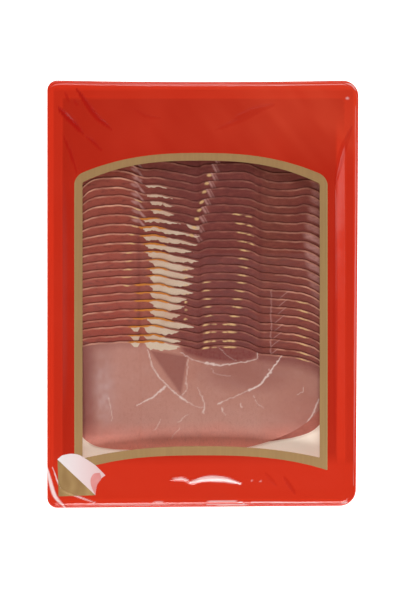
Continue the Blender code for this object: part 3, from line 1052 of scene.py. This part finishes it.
# Folds: route in millimetres, half width, height, how much painted shade darkens the print there
FOLDS = (
    (((-74.1, 120.4), (-63.0, 104.6), (-53.1, 95.9)), 1.7, 0.40, 0.9),
    (((-85.2, 109.3), (-76.4, 100.6), (-70.0, 93.6)), 1.9, 0.45, 1.0),
    (((-69.0, 92.4), (-64.8, 89.5), (-58.3, 83.0)), 0.9, 0.25, 0.7),
    (((-82.3, 94.1), (-77.6, 83.0), (-72.9, 69.6)), 0.9, 0.25, 0.8),
    (((-80.4, 118.0), (-78.0, 112.0)), 0.9, 0.25, 0.6),
    (((-75.2, 113.5), (-73.0, 110.0)), 0.8, 0.2, 0.6),
    (((-40.0, 108.0), (-33.0, 104.0), (-24.0, 102.5)), 1.2, 0.12, 0.25),
    (((18.7, 102.9), (30.0, 107.5), (42.1, 110.5)), 2.2, 0.18, 0.25),
    (((7.7, 95.9), (20.0, 101.0), (33.3, 106.4)), 1.8, 0.15, 0.25),
    (((87.1, 98.0), (81.0, 82.0), (77.1, 64.0)), 2.4, 0.25, 0.35),
    (((77.1, 60.0), (77.4, 0.0), (77.1, -90.0)), 1.6, 0.12, 0.25),
    (((46.8, -106.0), (54.4, -117.3)), 1.4, 0.18, 0.35),
    (((36.0, -104.0), (43.0, -112.0)), 1.4, 0.12, 0.2),
)
# Creases that catch the light: route, half width, height
CREASES = (
    (((-90.6, -96.7), (-88.7, -100.5), (-84.7, -108.9), (-82.3, -113.9), (-73.1, -118.0),
      (-62.4, -122.3)), 0.7, 0.30),
    (((-91.6, -100.0), (-88.4, -111.8), (-85.8, -118.4), (-79.4, -125.4)), 1.6, 0.55),
    (((-18.5, -108.1), (-11.0, -107.7), (-6.5, -109.6), (-1.7, -108.2), (7.1, -107.5),
      (14.7, -107.9), (22.0, -110.2)), 1.8, 0.60),
)
# Places where a crease or the rolled edge shines: route, half width, strength
GLINTS = (
    (((-91.0, -101.0), (-88.6, -111.6), (-86.0, -118.6), (-80.6, -124.4)), 1.15, 1.0),
    (((-88.1, -100.3), (-82.6, -113.6), (-73.6, -117.9), (-62.2, -122.2)), 0.55, 0.8),
    (((-18.0, -108.3), (-12.0, -107.8), (-7.5, -109.1)), 0.55, 0.7),
    (((-7.5, -110.0), (2.0, -107.8), (12.0, -108.3), (22.0, -110.6)), 1.7, 0.75),
    (((28.0, -108.8), (29.3, -108.9)), 0.5, 0.4),
    (((33.0, -109.2), (34.2, -109.1)), 0.5, 0.35),
    (((0.0, -121.3), (14.0, -121.0), (22.0, -121.4), (24.0, -122.6)), 0.42, 0.8),
    (((2.0, -122.9), (15.0, -123.0), (28.0, -122.9)), 0.38, 0.6),
    (((28.0, -121.4), (50.0, -121.7), (72.0, -121.9)), 0.38, 0.35),
    (((-31.0, -121.7), (-26.0, -121.5), (-21.0, -121.6)), 0.4, 0.5),
    (((-75.0, -122.4), (-50.0, -122.9), (-10.0, -122.9)), 0.4, 0.28),
    (((81.0, -122.2), (83.2, -121.6), (85.4, -122.0)), 0.55, 0.7),
    (((83.5, 123.2), (87.0, 122.0), (89.4, 119.0)), 0.4, 0.5),
    (((84.4, 114.8), (85.0, 114.2)), 0.6, 0.55),
    (((89.1, 110.0), (89.2, 40.0), (88.6, -50.0), (88.0, -112.0)), 0.45, 0.22),
    (((-85.0, 123.0), (-30.0, 122.5), (40.0, 122.3), (82.0, 122.6)), 0.45, 0.2),
)


def glint_mask(x, y):
    """Bright lines on the creases, thin at both ends."""
    glint = np.zeros(np.shape(x))
    for route, half_width, strength in GLINTS:
        distance, travelled = route_distance(x, y, route)
        width = half_width * (0.25 + 0.75 * np.sin(np.pi * travelled))
        glint = np.maximum(glint, strength * np.clip(2.0 - 1.6 * distance / width, 0.0, 1.0))
    return glint


def painted_sheen_mask(x, y):
    """Painted sheen on the film: the far right of the field, the near end, the right wall."""
    far = soft_step(y - 84.0, 30.0) * np.interp(x, (-70.0, -30.0, 20.0, 70.0), (0.0, 0.25, 0.65, 1.0))
    near = 0.12 * soft_step(-y - 96.0, 6.0)
    wall = 0.15 * band(x, 78.0, 83.5, 1.5) * band(y, -105.0, 95.0, 20.0)
    streaks = 0.8 + 0.35 * soft_noise((x + 0.8 * y) / 6.0, (x - y) / 30.0, 63)
    return np.clip(np.max([far, near, wall], axis=0) * streaks, 0.0, 1.0)


def film_relief(x, y):
    """Waves, folds and creases, as a height above the tight film, and the painted shade along the folds."""
    height = 0.16 * soft_noise(x / 24.0, y / 24.0, 61) + 0.05 * soft_noise(x / 9.0, y / 9.0, 62)
    dark = np.zeros(np.shape(x))
    for route, half_width, rise, darkening in FOLDS:
        distance, travelled = route_distance(x, y, route)
        width = half_width * np.sin(np.pi * np.clip(travelled, 0.02, 0.98)) ** 0.6
        inside = np.clip(1.0 - distance / width, 0.0, 1.0)
        height = height + rise * inside
        dark = np.maximum(dark, darkening * np.clip(4.0 * inside, 0.0, 1.0))
    for route, half_width, rise in CREASES:
        distance, travelled = route_distance(x, y, route)
        width = half_width * np.sin(np.pi * np.clip(travelled, 0.03, 0.97)) ** 0.4
        height = height + rise * np.clip(1.0 - distance / width, 0.0, 1.0)
    return height, dark


def film_surface(points):
    """The film over an array of x and y, as x, y, z."""
    x, y = points[..., 0], points[..., 1]
    relief, _ = film_relief(x, y)
    return np.stack([x, y, FILM_TOP + film_rise(x, y) + relief], axis=-1)


print("film:", len(FOLDS), "folds,", len(CREASES), "creases,", len(GLINTS), "glints")

# %% [markdown]
# ## The red print
# The pack's name and pictures are left off: the field stays a plain glossy red. The ink is thin,
# so it looks a little lighter where the white flange lies right behind it; the deeper red over the
# hollow of the tray is painted shade, and a lighter near end and right wall are painted light. The ring
# sheet runs from the cut edge of the pack to the outside of the frame.

# %% Red field finish
red_finish = Finish("red_print", {"Roughness": 0.16, "Coat Weight": 0.0, "Specular IOR Level": 0.5})
RED_BACKED_AND_LIT = shade(214, 48, 22)
RED_HOLLOW_SHADE = shade(180, 36, 15)
RED_FOLD_SHADE = shade(172, 18, 6)
cloud = red_finish.noise(red_finish.place(), 28.0, 2.0)
red = red_finish.mix(red_finish.attribute("backing_and_light"), RED_HOLLOW_SHADE, RED_BACKED_AND_LIT)
red = red_finish.mix((cloud - 0.45) * 0.8, red, shade(204, 52, 30))
# painted sheen, lighter where the film would reflect the room
red = red_finish.mix(red_finish.attribute("painted_shading") * 0.34, red, shade(226, 84, 54))
# painted shade along the folds
red = red_finish.mix(red_finish.attribute("fold_shade"), red, RED_FOLD_SHADE)
red = red_finish.mix(red_finish.attribute("glint"), red, shade(246, 214, 212))
red_finish.feed({"Base Color": red})
fine_waves = red_finish.noise(red_finish.place(), 160.0, 2.0)
red_finish.feed({"Normal": red_finish.bump(fine_waves, 0.12, 0.0004)})

print("red print:", len(red_finish.tree.nodes), "nodes")

# %% Red field, from the cut edge to the frame
EDGE_ROWS = (0.0, 0.35, 0.7, 1.05, 1.4, 1.8, 2.2, 2.7, 3.3, 4.0)
LIP_HEIGHTS = (-0.70, -0.22, -0.03, 0.02, -0.05, -0.16, -0.10, 0.04, 0.03, 0.0)
FIELD_ROWS = 42


def ring_rows(outer, inner, first_rows, steps):
    """Rows of points from an outer outline to an inner one: a few at set distances, then even."""
    reach = inner - outer
    length = np.hypot(reach[:, 0], reach[:, 1])[:, None]
    rows = [outer + reach / length * distance for distance in first_rows]
    start = rows[-1] if rows else outer
    shares = np.linspace(0.0, 1.0, steps + 1)[1 if rows else 0 :]
    rows += [start + (inner - start) * share for share in shares]
    return np.array(rows)


field_points = ring_rows(pack_edge, frame_outer, EDGE_ROWS, FIELD_ROWS)
field_lines = film_surface(field_points)
for row, lip_height in enumerate(LIP_HEIGHTS):
    near_side = soft_step(-field_points[row, :, 1] - 117.0, 8.0)
    field_lines[row, :, 2] += lip_height * (1.0 + 0.7 * near_side)
maker = thicken(sheet(field_lines, closed=True), FILM_THICKNESS)
field = add_piece("film_red_field", maker, red_finish, "lid_film")
x, y, _ = coordinates(field)
gap_across = np.minimum(x - MOUTH["left"], MOUTH["right"] - x)
gap_along = np.minimum(y - MOUTH["near"], MOUTH["far"] - y)
mouth_gap = np.minimum(gap_across, gap_along)
# lighter where the white flange backs the ink; darker over the hollow and just inside the mouth is painted
# shade, and the near end and right wall get painted light
backing_and_light = soft_step(-mouth_gap, 1.6) - 0.55 * band(mouth_gap, -5.0, -0.5, 1.0)
near_end_light = 0.75 * soft_step(-y - 96.0, 8.0)
right_wall_light = 0.9 * band(x, 78.0, 83.5, 1.5) * band(y, -105.0, 95.0, 20.0)
store(field, "backing_and_light", np.clip(np.max([backing_and_light, near_end_light, right_wall_light], axis=0), 0.0, 1.0))
store(field, "fold_shade", film_relief(x, y)[1])
store(field, "glint", glint_mask(x, y))
store(field, "painted_shading", painted_sheen_mask(x, y))

# %% [markdown]
# ## The gold frame
# A narrow frame in flat gold ink parts the red field from the clear window. Real gold ink is a
# dull metal powder, so it is half metallic and rough, with faint lines along its printing
# direction and a slightly greener edge. It is its own ring, cut from the same film surface.

# %% Gold frame
gold_finish = Finish("gold_print", {"Metallic": 0.35, "Roughness": 0.5})
GOLD = shade(172, 136, 84)
GOLD_GREEN = shade(168, 146, 92)
place = gold_finish.place()
brushed = gold_finish.noise(gold_finish.stretched(place, (1.0, 0.04, 1.0)), 700.0, 2.0)
gold = gold_finish.mix((brushed - 0.4) * 1.2, shade(158, 122, 76), GOLD)
gold = gold_finish.mix(gold_finish.attribute("edge"), gold, GOLD_GREEN)
gold_finish.feed({"Base Color": gold, "Normal": gold_finish.bump(brushed, 0.05, 0.0002)})
GOLD_ROWS = 8
gold_points = ring_rows(frame_outer, frame_inner, (), GOLD_ROWS)
maker = thicken(sheet(film_surface(gold_points), closed=True), FILM_THICKNESS)
gold_frame = add_piece("film_gold_frame", maker, gold_finish, "lid_film")
x, y, _ = coordinates(gold_frame)
outer_gap = np.minimum(np.abs(x - FRAME_OUTER_LEFT), np.abs(x - FRAME_OUTER_RIGHT))
store(gold_frame, "edge", np.clip(1.0 - outer_gap / 0.7, 0.0, 1.0))

# %% [markdown]
# ## The clear window
# Bare film over the ham. A sheet with one constant alpha keeps the window simple: the ham shows
# through, with a faint milky gloss over it. It lies just under the print and reaches a little way
# below the frame, so no gap shows between the two.

# %% Window
window_finish = Finish("clear_film", {"Base Color": shade(150, 118, 100), "Roughness": 0.12})
window_finish.feed({"Alpha": 0.015})
WINDOW_COLUMNS, WINDOW_ROWS = 120, 150
WINDOW_OVERLAP = 1.2
WINDOW_THICKNESS = 0.06
window_left = FRAME_INNER_LEFT - WINDOW_OVERLAP
window_right = FRAME_INNER_RIGHT + WINDOW_OVERLAP
window_x = np.linspace(window_left, window_right, WINDOW_COLUMNS + 1)


def arch_height(x, centre, middle_y, sag, reach, power):
    return middle_y - sag * (np.abs(x - centre) / reach) ** power


window_near = arch_height(window_x, *INNER_NEAR_ARCH) - WINDOW_OVERLAP
window_far = arch_height(window_x, *INNER_FAR_ARCH) + WINDOW_OVERLAP
share = np.linspace(0.0, 1.0, WINDOW_ROWS + 1)[:, None]
window_y = window_near + (window_far - window_near) * share
window_points = np.stack([np.broadcast_to(window_x, window_y.shape), window_y], axis=-1)
window_lines = film_surface(window_points) - np.array([0.0, 0.0, FILM_THICKNESS + 0.02])
maker = thicken(sheet(window_lines), WINDOW_THICKNESS)
add_piece("film_window", maker, window_finish, "lid_film")

# %% [markdown]
# ## The printed peel corner
# One corner carries a little printed drawing of the film being peeled back: a gold triangle, and
# a white flap folded over it with a pink shaded underside. The notice in words is left off. Each
# part is a thin sheet draped on the film between two lines, a hair above the red ink.

# %% Peel corner
PEEL_LIFT = 0.05
PEEL_COLUMNS, PEEL_ROWS = 44, 26
FOLD_START, FOLD_END, PEEL_TIP = (-84.9, -96.6), (-62.8, -117.4), (-84.3, -118.1)
FLAP_ROUTE = ((-84.9, -96.5), (-82.3, -94.3), (-77.3, -93.2), (-72.5, -93.8), (-68.3, -96.2),
              (-63.2, -99.6), (-59.7, -102.9), (-56.9, -105.8))
FLAP_RETURN = ((-56.9, -105.8), (-59.4, -107.7), (-61.8, -111.5), (-62.8, -117.4))
PINK_ROUTE = ((-60.2, -104.3), (-63.8, -104.9), (-65.6, -108.3), (-65.1, -112.4), (-62.8, -117.4))


def draped(name, first, second, finish, lift):
    """A thin sheet on the film between two lines of points."""
    share = np.linspace(0.0, 1.0, PEEL_ROWS + 1)[:, None, None]
    lines = film_surface(first + (second - first) * share)
    lines[..., 2] += lift
    return add_piece(name, thicken(sheet(lines), 0.5 * PEEL_LIFT), finish, "lid_film")


fold_line = smooth_line((FOLD_START, FOLD_END), PEEL_COLUMNS + 1)
tip_line = np.tile(PEEL_TIP, (PEEL_COLUMNS + 1, 1)).astype(float)
peel_gold = Finish("peel_gold_print", {"Metallic": 0.35, "Roughness": 0.5})
facet = peel_gold.noise(peel_gold.stretched(peel_gold.place(), (1.0, 0.35, 1.0)), 160.0, 1.0)
peel_gold.feed({"Base Color": peel_gold.mix((facet - 0.4) * 2.0, shade(150, 114, 66), shade(186, 152, 98))})
draped("film_peel_triangle", tip_line, fold_line, peel_gold, PEEL_LIFT)

flap_finish = Finish("peel_flap_print", {"Roughness": 0.35})
place = flap_finish.place()
toward_tip = (flap_finish.axis(place, "X") + 0.084) / 0.026
flap = flap_finish.mix(toward_tip, shade(238, 228, 228), shade(226, 186, 184))
flap_finish.feed({"Base Color": flap})
outer_line = np.vstack([smooth_line(FLAP_ROUTE, 33), smooth_line(FLAP_RETURN, 13)[1:]])
draped("film_peel_flap", fold_line, outer_line, flap_finish, PEEL_LIFT)

pink_finish = Finish("peel_shadow_print", {"Base Color": shade(222, 140, 138), "Roughness": 0.35})
tone = pink_finish.noise(pink_finish.place(), 200.0, 1.0)
pink_finish.feed({"Base Color": pink_finish.mix(tone, shade(214, 126, 122), shade(230, 156, 152))})
pink_inner = smooth_line(PINK_ROUTE, PEEL_COLUMNS + 1)
pink_outer = smooth_line(((-60.2, -104.3),) + FLAP_RETURN[1:], PEEL_COLUMNS + 1)
draped("film_peel_shadow", pink_inner, pink_outer, pink_finish, 1.8 * PEEL_LIFT)

# %% [markdown]
# ## Studio
# A pale floor, three soft boxes, of which the near one is the strongest, and a dim room with a
# bright horizon. The light comes from off the camera's axis, so the flat film stays deep red and
# only folds and edges shine. The camera looks straight down through a long lens.

# %% Floor
FLOOR_SIZE = 6.0
maker = bmesh.new()
bmesh.ops.create_grid(maker, x_segments=1, y_segments=1, size=0.5 * FLOOR_SIZE)
floor_mesh = bpy.data.meshes.new("floor")
maker.to_mesh(floor_mesh)
maker.free()
PAPER = (0.93, 0.93, 0.93, 1.0)
WHITE = (1.0, 1.0, 1.0, 1.0)
floor_finish = Finish("floor_paper", {"Base Color": PAPER, "Roughness": 0.9})
floor_finish.feed({"Specular IOR Level": 0.0})
floor_finish.feed({"Emission Color": WHITE, "Emission Strength": 0.75})
floor_mesh.materials.append(floor_finish.material)
floor = bpy.data.objects.new("floor", floor_mesh)
bpy.context.scene.collection.objects.link(floor)
floor.location.z = -0.0005
print("floor:", FLOOR_SIZE, "m square")


# %% Lights
def soft_box(name, direction, distance, width, height, power):
    """An area light that looks at the pack from a direction."""
    lamp = bpy.data.lights.new(name, "AREA")
    lamp.shape = "RECTANGLE"
    lamp.size, lamp.size_y = width, height
    lamp.energy = power
    holder = bpy.data.objects.new(name, lamp)
    bpy.context.scene.collection.objects.link(holder)
    holder.location = Vector(direction).normalized() * distance
    holder.rotation_mode = "QUATERNION"
    holder.rotation_quaternion = holder.location.to_track_quat("Z", "Y")


soft_box("near_box", (0.05, -0.75, 1.0), 2.0, 1.2, 0.7, 27.0)
soft_box("right_box", (0.9, 0.25, 0.8), 2.0, 0.6, 1.2, 4.0)
soft_box("far_box", (-0.1, 0.65, 1.0), 2.0, 1.0, 0.5, 12.0)

world = bpy.data.worlds.new("room")
world.use_nodes = True
bpy.context.scene.world = world
sky = world.node_tree
back = sky.nodes["Background"]
where = sky.nodes.new("ShaderNodeTexCoord")
split = sky.nodes.new("ShaderNodeSeparateXYZ")
ramp = sky.nodes.new("ShaderNodeValToRGB")
SKY_STOPS = ((0.0, WHITE), (0.25, (0.85, 0.85, 0.85, 1.0)), (0.7, (0.10, 0.10, 0.10, 1.0)))
set_stops(ramp.color_ramp, SKY_STOPS)
sky.links.new(where.outputs["Generated"], split.inputs[0])
sky.links.new(split.outputs["Z"], ramp.inputs[0])
sky.links.new(ramp.outputs[0], back.inputs["Color"])
back.inputs["Strength"].default_value = 0.8
print("lights:", [lamp.name for lamp in bpy.data.lights])

# %% Camera
CAMERA_HEIGHT = 2.4
VIEW_LENGTH = 0.3504
VIEW_CENTRE = (-0.0017, -0.0034)
SENSOR = 36.0
lens = bpy.data.cameras.new("camera")
lens.sensor_width = SENSOR
lens.lens = SENSOR * (CAMERA_HEIGHT - FILM_TOP * MM) / VIEW_LENGTH
lens.clip_end = 20.0
camera = bpy.data.objects.new("camera", lens)
bpy.context.scene.collection.objects.link(camera)
camera.location = (*VIEW_CENTRE, CAMERA_HEIGHT)
bpy.context.scene.camera = camera
bpy.context.scene.view_settings.view_transform = "Standard"
print("camera: lens", round(lens.lens, 1), "mm")
